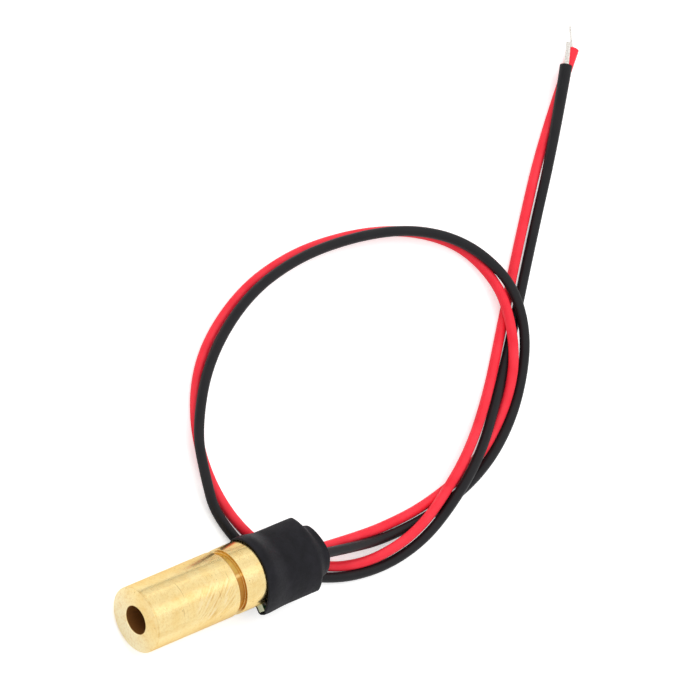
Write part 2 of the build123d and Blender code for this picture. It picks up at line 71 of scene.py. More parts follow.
# Floor: half its width, its two tones, and its own light as the camera and as mirrors see it
FLOOR_REACH = 3.0
FLOOR_WHITE = (0.86, 0.86, 0.86, 1)
FLOOR_PALER = (0.88, 0.88, 0.88, 1)
FLOOR_SEEN_GLOW = 0.47
FLOOR_MIRRORED_GLOW = 0.08

# Lamp
LAMP_PLACE = Vector((-0.25, 0.15, 0.55))
LAMP_SIDE = (LAMP_PLACE - CAMERA_TARGET).normalized()
LAMP_SIZE = 1.0
LAMP_ENERGY = 2.3

# Surrounding: its light in mirrors and on matt surfaces, and how much it is dimmed or lifted in mirrors
MIRRORED_SKY = 0.98
MATT_SKY = 0.8
HORIZON_DIM = 0.85
LEFT_DIM = 0.08
BEHIND_LAMP_DIM = 0.95
STRIPE_LIFT = 0.28

# Sizes that the nodes' boxes give
BARREL_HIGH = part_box("barrel")[1]
SLEEVE_LOW, SLEEVE_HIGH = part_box("sleeve")
BOARD_LOW, BOARD_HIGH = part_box("circuit_board")
FLOOR_Z = CAD_BOX[0][2]

# Barrel
BARREL_RADIUS = BARREL_HIGH.x
BARREL_LENGTH = BARREL_HIGH.y
APERTURE_RADIUS = 1.3 * MM
APERTURE_DEPTH = 3.0 * MM
BORE_RADIUS = 2.25 * MM
GROOVE_START = 9.35 * MM
GROOVE_END = 10.05 * MM
GROOVE_RADIUS = 2.7 * MM
RIM_ROUND = 0.12 * MM
MOUTH_ROUND = 0.1 * MM
EDGE_ROUND = 0.035 * MM
GROOVE_EASE = 0.2 * MM
BARREL_SEGMENTS = 160
ROUND_STEPS = 4

# Edges of the new meshes that turn by more than this stay sharp
SHARP_ANGLE = radians(35)

# Sleeve
SLEEVE_WALL = 0.2 * MM
SLEEVE_GAP = 0.02 * MM
SLEEVE_SIDE = 1.14 * MM
SLEEVE_GRIP_SIDE = 0.4 * MM
SLEEVE_FRONT_SLACK = 0.12 * MM
SLEEVE_TAPER = 2.4 * MM
SLEEVE_MIDDLE_TOP = 2.5 * MM
SLEEVE_REAR_TOP = 2.1 * MM
SLEEVE_BOTTOM = 2.15 * MM
NOZZLE_X = 0.48 * MM
NOZZLE_CROWN_X = 0.95 * MM
NOZZLE_HALF = 2.23 * MM
NOZZLE_TOP = 1.75 * MM
NOZZLE_BOTTOM = 2.15 * MM
NOZZLE_SIDE = 0.5 * MM
NOZZLE_LENGTH = 0.75 * MM
NOZZLE_FLARE = 0.22 * MM
NOTCH_SLIT = 0.7 * MM
NOTCH_LIP = 0.49 * MM
NOTCH_TIP = 0.3 * MM
NOTCH_STEP = 1.3 * MM
LEFT_STEP = 0.6 * MM
FOLD_CORNER = 0.38 * MM
FOLD_MARGIN = 0.05 * MM
FOLD_STEPS = 8
FOLD_EDGE_STEPS = 6

# Sleeve's mesh: steps along it and in a quarter of its outline, and where round a lip's half turn
# the points lie
SLEEVE_STEPS = 90
QUARTER_STEPS = 22
LIP_TURNS = (0.15, 0.4, 0.6, 0.85)

# Corners of the sleeve's outline: how far the curve runs flat from its crown towards the flank,
# how far up the flank its second handle stands, and how far that handle leans in
ROUND_CORNER = (0.5523, 0.5523, 0.0)
FIRM_CORNER = (0.5523, 0.22, 0.0)
TAUT_CORNER = (0.45, 0.33, 0.22)
NOZZLE_CORNER = (0.42, 0.42, 0.0)

# Share of a quarter outline's points that lie on the straight flank
FLANK_SHARE = 0.15

# Where the sleeve's sides and crown narrow to its mouth: start behind the board, and length
LEFT_CLOSE = (0.4 * MM, 0.6 * MM)
RIGHT_CLOSE = (0.15 * MM, 0.85 * MM)
CROWN_CLOSE = (0.1 * MM, 1.1 * MM)

# Where the sleeve's front edge eases from one step to the next: start, and length
BARREL_FLANK = (BARREL_RADIUS - 0.12 * MM, 0.18 * MM)
SLIT_HEIGHT = (0.6 * MM, 0.6 * MM)
LIP_HEIGHT = (BOARD_LOW.z + 0.05 * MM, 0.1 * MM)
STEP_HEIGHT = (BOARD_LOW.z - 0.2 * MM, 0.15 * MM)
TIP_REACH = (SLEEVE_HIGH.x - 0.35 * MM, 0.35 * MM)
LEFT_HEIGHT = (0.2 * MM, 0.35 * MM)
LEFT_REACH = (-1.0 * MM, 0.6 * MM)

# Hollows in the sleeve's skin: where they begin and over what length they deepen, width and depth,
# and the noise's fade from octave to octave, its ratio of scales and its number of octaves
SKIN_FREE = (BARREL_LENGTH + 0.3 * MM, 1.5 * MM)
SKIN_GRAIN = 1.6 * MM
SKIN_DEPTH = 0.02 * MM
SKIN_OCTAVES = (1.0, 2.0, 3)

# Where the brass is worked and scratched, where a line of painted shade lies behind the front edge, and
# where the groove lies, brown with painted light and a painted glint: millimetres behind the front face,
# and radians round the axis, where 0 is right and pi / 2 is up
STROKES_ALONG = (4.8, 8.8)
STROKES_ROUND = (0.5, 1.6)
SCRATCHES_ALONG = (2.5, 9.0)
# Painted shade: a darker line just behind the front edge
PAINTED_RIM_SHADE_ALONG = (0.06, 0.2)
GROOVE_ALONG = (GROOVE_START / MM - 0.05, GROOVE_END / MM - 0.02)
# Painted light in the groove: golden on its upper left, and a painted glint
PAINTED_GROOVE_LIGHT_ROUND = (1.62, 1.78)
PAINTED_GLINT_ROUND = (1.56, 1.66)

# Leads: their route points repeat the ones of the part's source, in metres. A lead's axis is LOW
# where it lies on the floor, and HIGH where it lies over a lead.
LEAD_DIAMETER = 0.00086
LEAD_SWELL = 1.07
LEAD_SMOOTHNESS = 6
SPLINE_ORDER = 3
SPLINE_STEPS = 12
RED_END_SWELL = 0.02
BLACK_END_SWELL = 0.26
LOW = FLOOR_Z + LEAD_DIAMETER / 2
HIGH = LOW + 0.00098
RED_ROUTE = [
    (0.00040, SLEEVE_HIGH.y, -0.00147),
    (0.00085, 0.0250, -0.00195),
    (0.00105, 0.0296, -0.00276),
    (0.00075, 0.0346, LOW),
    (-0.00085, 0.0412, LOW),
    (-0.00415, 0.0462, LOW),
    (-0.0079, 0.0488, HIGH),
    (-0.0126, 0.0502, HIGH),
    (-0.0159, 0.0503, -0.0025),
    (-0.0195, 0.0484, LOW),
    (-0.0223, 0.0439, LOW),
    (-0.0238, 0.0380, LOW),
    (-0.0241, 0.0312, LOW),
    (-0.0226, 0.0244, LOW),
    (-0.0186, 0.0180, LOW),
    (-0.0126, 0.0147, LOW),
    (-0.0062, 0.0145, LOW),
    (-0.0009, 0.0170, LOW),
    (0.0023, 0.0220, LOW),
    (0.0033, 0.0259, -0.0025),
    (0.00305, 0.0295, HIGH),
    (0.0022, 0.0327, HIGH),
    (0.00075, 0.0357, HIGH),
    (-0.00205, 0.0403, HIGH),
    (-0.0061, 0.0453, LOW),
    (-0.0117, 0.0499, LOW),
    (-0.0185, 0.0556, LOW),
    (-0.0255, 0.0618, LOW),
    (-0.0315, 0.0684, LOW),
]
BLACK_ROUTE = [
    (0.00100, SLEEVE_HIGH.y, 0.00035),
    (0.00160, 0.0247, -0.0013),
    (0.00200, 0.0290, -0.00274),
    (0.00175, 0.0348, LOW),
    (0.00010, 0.0414, LOW),
    (-0.00315, 0.0466, LOW),
    (-0.0076, 0.0499, -0.0020),
    (-0.0113, 0.0514, HIGH),
    (-0.0151, 0.0514, HIGH),
    (-0.0193, 0.0487, HIGH),
    (-0.0221, 0.0440, HIGH),
    (-0.0234, 0.0380, HIGH),
    (-0.0236, 0.0312, HIGH),
    (-0.0221, 0.0246, HIGH),
    (-0.0182, 0.0184, HIGH),
    (-0.0129, 0.0145, HIGH),
    (-0.0092, 0.0136, HIGH),
    (-0.0054, 0.0136, LOW),
    (0.0002, 0.0161, LOW),
    (0.0034, 0.0219, LOW),
    (0.0043, 0.0272, LOW),
    (0.00365, 0.0319, -0.0021),
    (0.00175, 0.0362, HIGH),
    (-0.0013, 0.0412, HIGH),
    (-0.00525, 0.0458, LOW),
    (-0.0108, 0.0507, LOW),
    (-0.0176, 0.0564, LOW),
    (-0.0246, 0.0618, HIGH),
    (-0.0304, 0.0662, HIGH),
]

# Bare strands: steps along each, smoothness of its section, turns round each other, share by which
# they bulge apart, radians of that bulging from root to tip, and share by which the tips are thinner
STRAND_STEPS = 24
STRAND_SMOOTHNESS = 3
STRAND_TURNS = 0.8
STRAND_BULGE = 0.2
STRAND_WAVE = 7
STRAND_TAPER = 0.3


def link_object(name, data):
    """New object in the scene."""
    made = bpy.data.objects.new(name, data)
    bpy.context.scene.collection.objects.link(made)
    return made


def make_camera():
    """Camera at the photograph's angle, rolled so that the barrel points to the lower left."""
    lens = bpy.data.cameras.new("camera")
    lens.sensor_width = CAMERA_SENSOR
    lens.lens = CAMERA_LENS
    lens.clip_start = CAMERA_NEAR
    lens.clip_end = CAMERA_FAR
    camera = link_object("camera", lens)
    aim = Vector((0, cos(CAMERA_ELEVATION), -sin(CAMERA_ELEVATION)))
    turn = Quaternion((0, 0, 1), CAMERA_ROLL)
    camera.rotation_mode = "QUATERNION"
    camera.rotation_quaternion = aim.to_track_quat("-Z", "Y") @ turn
    camera.location = CAMERA_TARGET - aim * CAMERA_DISTANCE
    bpy.context.scene.camera = camera


def linear(red, green, blue):
    """Shader colour from screen values of 0 to 255."""
    def one(value):
        value /= 255
        return value / 12.92 if value < 0.04045 else ((value + 0.055) / 1.055) ** 2.4
    return (one(red), one(green), one(blue), 1)


class Nodes:
    """A node tree with short ways to add nodes to it."""

    def __init__(self, tree):
        self.tree = tree

    def node(self, kind, inputs=(), **settings):
        """New node with settings, and inputs by number: a value or another node's output."""
        made = self.tree.nodes.new("ShaderNode" + kind)
        for name, value in settings.items():
            setattr(made, name, value)
        for number, value in enumerate(inputs):
            self.feed(made.inputs[number], value)
        return made

    def feed(self, socket, value):
        """Give a socket a value, or link an output to it."""
        if isinstance(value, bpy.types.NodeSocket):
            self.tree.links.new(value, socket)
        else:
            socket.default_value = value

    def maths(self, operation, *values):
        """Result of one Math node."""
        return self.node("Math", values, operation=operation).outputs[0]

    def times(self, product, *factors):
        """Product of two or more values."""
        for factor in factors:
            product = self.maths("MULTIPLY", product, factor)
        return product

    def axes(self, vector):
        """The three parts of a vector."""
        return self.node("SeparateXYZ", (vector,)).outputs

    def spread(self, value, low, high, start=0.0, end=1.0):
        """A value mapped from one range to another, clamped."""
        return self.node("MapRange", (value, low, high, start, end)).outputs[0]

    def window(self, value, low, high, soft):
        """1 where a value lies between two limits, with soft edges."""
        above_low = self.spread(value, low - soft, low + soft)
        below_high = self.spread(value, high - soft, high + soft, 1.0, 0.0)
        return self.times(above_low, below_high)


class Finish(Nodes):
    """A material with a Principled shader and short ways to texture it."""

    def __init__(self, name, colour, roughness, metallic=0.0, specular=0.5):
        self.material = bpy.data.materials.new(name)
        self.material.use_nodes = True
        super().__init__(self.material.node_tree)
        self.shader = self.tree.nodes["Principled BSDF"]
        self.set("Base Color", colour)
        self.set("Roughness", roughness)
        self.set("Metallic", metallic)
        self.set("Specular IOR Level", specular)
        self.heights = None

    def set(self, socket, value):
        """Feed one of the shader's sockets."""
        self.feed(self.shader.inputs[socket], value)

    def place(self):
        """Object coordinates in millimetres."""
        return self.stretch(self.node("TexCoord").outputs["Object"], 1 / MM, 1 / MM, 1 / MM)

    def stretch(self, vector, x, y, z):
        """A vector multiplied by three factors."""
        return self.node("VectorMath", (vector, (x, y, z)), operation="MULTIPLY").outputs[0]

    def noise(self, vector, scale, detail, roughness):
        """Factor of a noise texture."""
        made = self.node("TexNoise", (vector,))
        made.inputs["Scale"].default_value = scale
        made.inputs["Detail"].default_value = detail
        made.inputs["Roughness"].default_value = roughness
        return made.outputs[0]

    def specks(self, vector, scale, size, share):
        """1 in small round specks, 0 elsewhere; share is the part of the cells with a speck."""
        cells = self.node("TexVoronoi", (vector,))
        cells.inputs["Scale"].default_value = scale
        near = self.maths("LESS_THAN", cells.outputs["Distance"], size)
        pick = self.node("SeparateColor", (cells.outputs["Color"],)).outputs[0]
        return self.times(near, self.maths("LESS_THAN", pick, share))

    def mix(self, share, first, second):
        """Mix of two colours."""
        made = self.node("Mix", data_type="RGBA")
        self.feed(made.inputs["Factor"], share)
        self.feed(made.inputs[6], first)
        self.feed(made.inputs[7], second)
        return made.outputs[2]

    def layered(self, colour, layers):
        """A colour with others laid over it in turn, each with its share."""
        for share, shade in layers:
            colour = self.mix(share, colour, shade)
        return colour

    def tones(self, cloud, first, second):
        """Colour that a cloudy texture moves from one tone to another."""
        return self.mix(self.spread(cloud, 0.35, 0.7), first, second)

    def sheen(self, cloud, low, high):
        """Roughness that a cloudy texture moves between two values."""
        self.set("Roughness", self.spread(cloud, 0.3, 0.7, low, high))

    def bump(self, height, depth):
        """Add a bump layer; depth is its height in millimetres."""
        made = self.node("Bump")
        made.inputs["Strength"].default_value = 1.0
        made.inputs["Distance"].default_value = depth * MM
        self.feed(made.inputs["Height"], height)
        if self.heights:
            self.feed(made.inputs["Normal"], self.heights)
        self.heights = made.outputs["Normal"]
        self.set("Normal", self.heights)


class TurnedBrass(Finish):
    """Brass of the barrel; its textures are placed in millimetres from the front face's centre."""

    def __init__(self):
        super().__init__("turned_brass", linear(250, 226, 168), roughness=0.2, metallic=1.0)
        self.point = self.place()
        self.x, self.y, self.z = self.axes(self.point)
        flat = self.stretch(self.point, 1, 0, 1)
        self.radius = self.node("VectorMath", (flat,), operation="LENGTH").outputs["Value"]
        self.angle = self.maths("ARCTAN2", self.z, self.x)
        normal = self.node("NewGeometry").outputs["Normal"]
        self.on_face = self.spread(self.maths("ABSOLUTE", self.axes(normal)[1]), 0.5, 0.8)
        self.on_side = self.maths("SUBTRACT", 1.0, self.on_face)
        self.stains = self.noise(self.point, 0.55, 5.0, 0.6)
        self.clouds = self.noise(self.stretch(self.point, 1.0, 0.35, 1.0), 1.1, 3.0, 0.55)
        self.mottle = self.noise(self.point, 4.5, 4.0, 0.65)

    def turning_marks(self):
        """Fine rings round the axis, on the side and on the flat faces."""
        rings = self.noise(self.stretch(self.point, 0.25, 7.0, 0.25), 1.0, 4.0, 0.6)
        reach = self.node("CombineXYZ", (self.times(self.radius, 7.0), 0.0, 0.0)).outputs[0]
        facing = self.noise(reach, 1.0, 4.0, 0.6)
        return self.maths("ADD", self.times(facing, self.on_face, 0.7), self.times(rings, self.on_side))

    def patina_and_painted_face_light(self, marks):
        """Layers of tone: clouds, marks and mottling, and on the front face a painted reflection that
        makes it pale low down and painted shade that makes it warm high up.
        """
        # Painted light: the front face is painted paler towards the bottom, as a reflection of the
        # bright floor, and warmer towards the top, as shade.
        painted_low_face_reflection = self.times(self.on_face, self.spread(self.z, 1.6, -1.8, 0.0, 0.9))
        painted_high_face_shade = self.times(self.on_face, self.spread(self.z, 0.8, 2.6, 0.0, 0.3))
        return [
            (painted_low_face_reflection, linear(255, 246, 212)),
            (painted_high_face_shade, linear(236, 202, 142)),
            (self.spread(self.clouds, 0.5, 0.75, 0.0, 0.4), linear(232, 192, 118)),
            (self.spread(marks, 0.4, 0.75, 0.0, 0.1), linear(222, 178, 104)),
            (self.spread(self.mottle, 0.5, 0.68, 0.0, 0.36), linear(228, 180, 104)),
        ]

    def strokes(self):
        """Layers for the slanting strokes on the upper right side, pale ones and dark ones."""
        arc = self.times(self.angle, BARREL_RADIUS / MM)
        along = self.times(self.maths("ADD", self.y, arc), 0.4)
        over = self.times(self.maths("SUBTRACT", self.y, arc), 3.6)
        grain = self.noise(self.node("CombineXYZ", (along, over, 0.0)).outputs[0], 1.0, 2.0, 0.5)
        worked = self.times(self.window(self.y, *STROKES_ALONG, 0.8),
                            self.window(self.angle, *STROKES_ROUND, 0.3), self.on_side)
        return [
            (self.times(self.spread(grain, 0.52, 0.68, 0.0, 0.7), worked), linear(255, 238, 200)),
            (self.times(self.spread(grain, 0.46, 0.32, 0.0, 0.6), worked), linear(214, 164, 88)),
        ]

    def pits_and_scratches(self):
        """Pits everywhere and a few scratches on the side."""
        pits = self.specks(self.point, 1.7, 0.09, 0.4)
        turned = self.node("Mapping", (self.point,))
        turned.inputs["Rotation"].default_value = (0.0, 0.35, 0.35)
        turned.inputs["Scale"].default_value = (0.5, 5.0, 0.5)
        scratches = self.spread(self.noise(turned.outputs[0], 1.0, 1.0, 0.5), 0.7, 0.74)
        scratches = self.times(scratches, self.on_side, self.window(self.y, *SCRATCHES_ALONG, 0.6))
        return self.maths("MAXIMUM", self.times(pits, 0.7), self.times(scratches, 0.3))

    def painted_rim_shade(self):
        """Layer of painted shade: a darker line just behind the rounded front edge."""
        share = self.times(self.window(self.y, *PAINTED_RIM_SHADE_ALONG, 0.05),
                           self.spread(self.clouds, 0.35, 0.6, 0.0, 0.4), self.on_side)
        return share, linear(212, 164, 92)

    def groove(self):
        """Layer for the groove: brown, with painted light that makes it golden on the upper left, and a
        painted highlight, a glint, where they meet.
        """
        within = self.times(self.window(self.y, *GROOVE_ALONG, 0.03),
                            self.maths("LESS_THAN", self.radius, BARREL_RADIUS / MM - 0.07), 0.92)
        brown = self.mix(self.spread(self.stains, 0.35, 0.65), linear(186, 124, 38), linear(148, 92, 24))
        shade = self.layered(brown, [
            # Painted light: the groove's upper left is painted golden, and a glint is painted as a
            # highlight
            (self.spread(self.angle, *PAINTED_GROOVE_LIGHT_ROUND, 0.0, 0.8), linear(214, 172, 82)),
            (self.times(self.window(self.angle, *PAINTED_GLINT_ROUND, 0.03), 0.6), linear(250, 216, 146)),
        ])
        return within, shade

    def inside(self):
        """1 in the aperture, behind the round of its mouth."""
        return self.times(self.maths("LESS_THAN", self.radius, APERTURE_RADIUS / MM + 0.02),
                          self.maths("GREATER_THAN", self.y, MOUTH_ROUND / MM))


def turned_brass():
    """Brass with all its layers, one over the other, and their bumps."""
    brass = TurnedBrass()
    marks = brass.turning_marks()
    wear = brass.pits_and_scratches()
    inside = brass.inside()
    layers = [
        # Patina, with painted reflection and painted shade on the front face
        *brass.patina_and_painted_face_light(marks),
        *brass.strokes(),
        (wear, linear(150, 104, 44)),
        # Painted shade along the front edge
        brass.painted_rim_shade(),
        brass.groove(),
        (inside, linear(142, 92, 44)),
    ]
    base = brass.tones(brass.stains, linear(255, 233, 172), linear(249, 218, 147))
    brass.set("Base Color", brass.layered(base, layers))
    brass.set("Specular Tint", linear(255, 238, 205))
    brass.set("Metallic", brass.spread(inside, 0.0, 1.0, 1.0, 0.4))
    rough = brass.spread(brass.mottle, 0.3, 0.7, 0.2, 0.28)
    brass.set("Roughness", brass.maths("ADD", rough, brass.times(inside, 0.3)))
    brass.bump(marks, 0.0005)
    brass.bump(brass.stains, 0.006)
    brass.bump(brass.times(wear, -1.0), 0.003)
    return brass.material


def shrink_tube():
    """Matte black sleeve with a soft uneven skin and a little dust."""
    skin = Finish("shrink_tube", linear(30, 28, 33), roughness=0.55, specular=0.16)
    place = skin.place()
    broad = skin.noise(place, 0.7, 4.0, 0.6)
    fine = skin.noise(place, 9.0, 3.0, 0.6)
    dust = skin.specks(place, 1.6, 0.035, 0.3)
    colour = skin.mix(skin.spread(broad, 0.3, 0.7), linear(15, 15, 19), linear(30, 29, 35))
    skin.set("Base Color", skin.mix(skin.times(dust, 0.45), colour, linear(140, 140, 146)))
    skin.sheen(fine, 0.46, 0.62)
    skin.bump(broad, 0.05)
    skin.bump(fine, 0.006)
    return skin.material


def lead_skin(name, colour, worn, roughness):
    """Soft plastic insulation with a faint grain and slow changes of tone."""
    skin = Finish(name, colour, roughness, specular=0.2)
    place = skin.place()
    tone = skin.noise(place, 0.5, 3.0, 0.5)
    skin.set("Base Color", skin.tones(tone, colour, worn))
    skin.sheen(tone, roughness - 0.05, roughness + 0.08)
    skin.bump(skin.noise(place, 14.0, 3.0, 0.5), 0.004)
    skin.bump(skin.noise(place, 2.0, 2.0, 0.5), 0.01)
    return skin.material


def metal(name, colour, tarnish, roughness, grain):
    """Bare metal with a cloudy surface; grain is how many clouds there are in a millimetre."""
    skin = Finish(name, colour, roughness, metallic=1.0)
    cloud = skin.noise(skin.place(), grain, 4.0, 0.6)
    skin.set("Base Color", skin.tones(cloud, colour, tarnish))
    skin.sheen(cloud, roughness - 0.06, roughness + 0.1)
    skin.bump(cloud, 0.01)
    return skin.material


def moulded(name, colour, light, roughness, grain):
    """Plastic, ceramic or lacquer with fine grain."""
    skin = Finish(name, colour, roughness)
    cloud = skin.noise(skin.place(), grain, 3.0, 0.6)
    skin.set("Base Color", skin.tones(cloud, colour, light))
    skin.sheen(cloud, roughness - 0.05, roughness + 0.08)
    skin.bump(cloud, 0.006)
    return skin.material


def board_lacquer():
    """Green lacquer on the faces of the board, pale glass fibre on its sawn edges."""
    skin = Finish("board_lacquer", linear(38, 84, 50), roughness=0.35)
    place = skin.place()
    normal = skin.node("NewGeometry").outputs["Normal"]
    edge = skin.spread(skin.maths("ABSOLUTE", skin.axes(normal)[2]), 0.3, 0.6, 1.0, 0.0)
    plies = skin.noise(skin.stretch(place, 0.8, 0.8, 9.0), 1.0, 3.0, 0.6)
    fibre = skin.tones(plies, linear(214, 222, 200), linear(168, 184, 150))
    green = skin.mix(skin.noise(place, 1.4, 4.0, 0.6), linear(30, 74, 42), linear(52, 100, 62))
    skin.set("Base Color", skin.mix(edge, green, fibre))
    skin.bump(plies, 0.01)
    return skin.material


def clear_glass(name, colour, roughness):
    """Clear glass."""
    skin = Finish(name, colour, roughness)
    skin.set("Transmission Weight", 1.0)
    skin.set("IOR", 1.5)
    skin.bump(skin.noise(skin.place(), 1.0, 2.0, 0.5), 0.001)
    return skin.material


def mesh_object(name, bm, material):
    """Object with a smooth mesh whose sharp edges stay sharp."""
    mesh = bpy.data.meshes.new(name)
    bmesh.ops.recalc_face_normals(bm, faces=bm.faces)
    bm.to_mesh(mesh)
    bm.free()
    for face in mesh.polygons:
        face.use_smooth = True
    mesh.set_sharp_from_angle(angle=SHARP_ANGLE)
    mesh.materials.append(material)
    return link_object(name, mesh)


def skin_rings(bm, rings, closed=False):
    """Quads between rings of points; closed joins the last ring to the first."""
    loops = [[bm.verts.new(point) for point in ring] for ring in rings]
    pairs = list(zip(loops, loops[1:]))
    if closed:
        pairs.append((loops[-1], loops[0]))
    for first, second in pairs:
        count = len(first)
        for i in range(count):
            j = (i + 1) % count
            bm.faces.new((first[i], first[j], second[j], second[i]))
    return loops


def corner_round(before, corner, after, size):
    """Points of a small round in place of a corner of a profile."""
    corner = Vector(corner)
    start = corner + (Vector(before) - corner).normalized() * size
    end = corner + (Vector(after) - corner).normalized() * size
    points = []
    for step in range(ROUND_STEPS + 1):
        t = step / ROUND_STEPS
        points.append(start * (1 - t) ** 2 + corner * 2 * t * (1 - t) + end * t**2)
    return points


def barrel():
    """Turned barrel with small rounds on all its edges."""
    corners = [
        (APERTURE_RADIUS, 0, MOUTH_ROUND),
        (BARREL_RADIUS, 0, RIM_ROUND),
        (BARREL_RADIUS, GROOVE_START, GROOVE_EASE),
        (GROOVE_RADIUS, GROOVE_START, EDGE_ROUND),
        (GROOVE_RADIUS, GROOVE_END, EDGE_ROUND),
        (BARREL_RADIUS, GROOVE_END, EDGE_ROUND),
        (BARREL_RADIUS, BARREL_LENGTH, EDGE_ROUND),
        (BORE_RADIUS, BARREL_LENGTH, EDGE_ROUND),
        (BORE_RADIUS, APERTURE_DEPTH, EDGE_ROUND),
        (APERTURE_RADIUS, APERTURE_DEPTH, EDGE_ROUND),
    ]
    profile = []
    for i, (radius, y, size) in enumerate(corners):
        before = corners[i - 1][:2]
        after = corners[(i + 1) % len(corners)][:2]
        profile += corner_round(before, (radius, y), after, size)
    turns = [2 * pi * i / BARREL_SEGMENTS for i in range(BARREL_SEGMENTS)]
    rings = [[(r * cos(a), y, r * sin(a)) for r, y in profile] for a in turns]
    bm = bmesh.new()
    skin_rings(bm, rings, closed=True)
    return mesh_object("brass_barrel", bm, turned_brass())


def smooth(share):
    """Ease from 0 to 1."""
    share = min(max(share, 0), 1)
    return share * share * (3 - 2 * share)


def rise(value, start, length):
    """Ease from 0 to 1 as a value grows past a start, over a length."""
    return smooth((value - start) / length)


def drop(value, start, length):
    """Ease from 0 to 1 as a value falls below a start, over a length."""
    return smooth((start - value) / length)


def blend(start, end, share):
    """Value between two others."""
    return start + (end - start) * share


def mixed(first, second, share):
    """Two lists of numbers, blended one by one."""
    return [blend(low, high, share) for low, high in zip(first, second)]


def flank(x, middle, height, above, below):
    """One side of the sleeve's outline: its flat, and its corners above and below."""
    return [x, middle, height, *above, *below]


def body_outline(y, inset):
    """Left flank, right flank and crown of the sleeve over the barrel and the board."""
    share = rise(y, BARREL_LENGTH, SLEEVE_TAPER)
    margin = SLEEVE_GAP + SLEEVE_WALL
    rear = BOARD_HIGH.y + margin
    fall = min((y - BARREL_LENGTH) / (rear - BARREL_LENGTH), 1)
    left = -blend(BARREL_RADIUS, -BOARD_LOW.x, share) - margin + inset
    right = BOARD_HIGH.x + margin + SLEEVE_FRONT_SLACK * (1 - share) - inset
    top = blend(BARREL_RADIUS + margin, blend(SLEEVE_MIDDLE_TOP, SLEEVE_REAR_TOP, fall), share)
    bottom = -blend(BARREL_RADIUS + margin, SLEEVE_BOTTOM, share)
    board_z = (BOARD_LOW.z + BOARD_HIGH.z) / 2
    left_height = blend(SLEEVE_GRIP_SIDE, SLEEVE_SIDE, share) - inset
    left_corner = mixed(ROUND_CORNER, FIRM_CORNER, share)
    left_side = flank(left, board_z * share, left_height, left_corner, left_corner)
    right_side = flank(right, board_z, SLEEVE_SIDE - inset, FIRM_CORNER, TAUT_CORNER)
    return left_side, right_side, [NOZZLE_X * share, top - inset, bottom + inset]


def mouth_outline(y, inset):
    """Left flank, right flank and crown of the sleeve's narrow mouth, wider at its neck."""
    middle = (NOZZLE_TOP - NOZZLE_BOTTOM) / 2
    half = NOZZLE_HALF - inset + NOZZLE_FLARE * min((SLEEVE_HIGH.y - y) / NOZZLE_LENGTH, 1)
    flat = (middle, NOZZLE_SIDE - inset, NOZZLE_CORNER, ROUND_CORNER)
    left_side = flank(NOZZLE_X - half, *flat)
    right_side = flank(NOZZLE_X + half, *flat)
    return left_side, right_side, [NOZZLE_CROWN_X, NOZZLE_TOP - inset, -NOZZLE_BOTTOM + inset]


def outline_point(y, inset, side, upper, t):
    """Point of the sleeve's outline: side 0 is left, 1 is right; t goes from flank to crown."""
    behind = y - BOARD_HIGH.y
    body, mouth = body_outline(y, inset), mouth_outline(y, inset)
    numbers = mixed(body[side], mouth[side], rise(behind, *(LEFT_CLOSE, RIGHT_CLOSE)[side]))
    crown_x, top, bottom = mixed(body[2], mouth[2], rise(behind, *CROWN_CLOSE))
    x, middle, height = numbers[:3]
    shoulder_share, waist_share, lean = numbers[3:6] if upper else numbers[6:9]
    crown = top if upper else bottom
    edge = middle + height / 2 if upper else middle - height / 2
    if t < FLANK_SHARE:
        return Vector((x, y, blend(middle, edge, t / FLANK_SHARE)))
    s = (t - FLANK_SHARE) / (1 - FLANK_SHARE)
    t = 1 - s
    shoulder = (blend(crown_x, x, shoulder_share), crown)
    waist = (blend(x, crown_x, lean), blend(edge, crown, waist_share))
    knots = ((crown_x, crown), shoulder, waist, (x, edge))
    weights = (s**3, 3 * s * s * t, 3 * s * t * t, t**3)
    return Vector((
        sum(weight * knot[0] for weight, knot in zip(weights, knots)),
        y,
        sum(weight * knot[1] for weight, knot in zip(weights, knots)),
    ))


def rim_y(point):
    """Where the sleeve's front edge lies: it is torn back beside the barrel and short on the left."""
    slit = NOTCH_SLIT * drop(point.z, *SLIT_HEIGHT)
    lip = NOTCH_LIP + NOTCH_TIP * rise(point.x, *TIP_REACH)
    back = blend(slit, lip, drop(point.z, *LIP_HEIGHT))
    torn = blend(back, NOTCH_STEP, drop(point.z, *STEP_HEIGHT)) * rise(point.x, *BARREL_FLANK)
    short = LEFT_STEP * drop(point.z, *LEFT_HEIGHT) * drop(point.x, *LEFT_REACH)
    return SLEEVE_LOW.y + torn + short


def sleeve_fold(bm):
    """The front edge folded under the board's corner: a thin rounded tongue."""
    x0, x1 = BARREL_RADIUS + SLEEVE_GAP, SLEEVE_HIGH.x - FOLD_MARGIN
    y0, y1 = SLEEVE_LOW.y + NOTCH_LIP, SLEEVE_LOW.y + NOTCH_STEP + SLEEVE_WALL
    high = BOARD_LOW.z - SLEEVE_GAP
    low = high - SLEEVE_WALL
    outline = [(x0, y1), (x0, y0)]
    for step in range(FOLD_STEPS + 1):
        angle = pi / 2 * step / FOLD_STEPS
        x = x1 - FOLD_CORNER * (1 - sin(angle))
        outline.append((x, y0 + FOLD_CORNER * (1 - cos(angle))))
    outline.append((x1, y1))
    middle = Vector(((x0 + x1) / 2, (y0 + y1) / 2))
    rings = []
    for step in range(FOLD_EDGE_STEPS + 1):
        angle = pi * step / FOLD_EDGE_STEPS
        inset = SLEEVE_WALL / 2 * (1 - sin(angle))
        z = blend(low, high, (1 - cos(angle)) / 2)
        ring = []
        for x, y in outline:
            inward = (middle - Vector((x, y))).normalized() * inset
            ring.append((x + inward.x, y + inward.y, z))
        rings.append(ring)
    loops = skin_rings(bm, rings)
    bm.faces.new(loops[0])
    bm.faces.new(loops[-1])


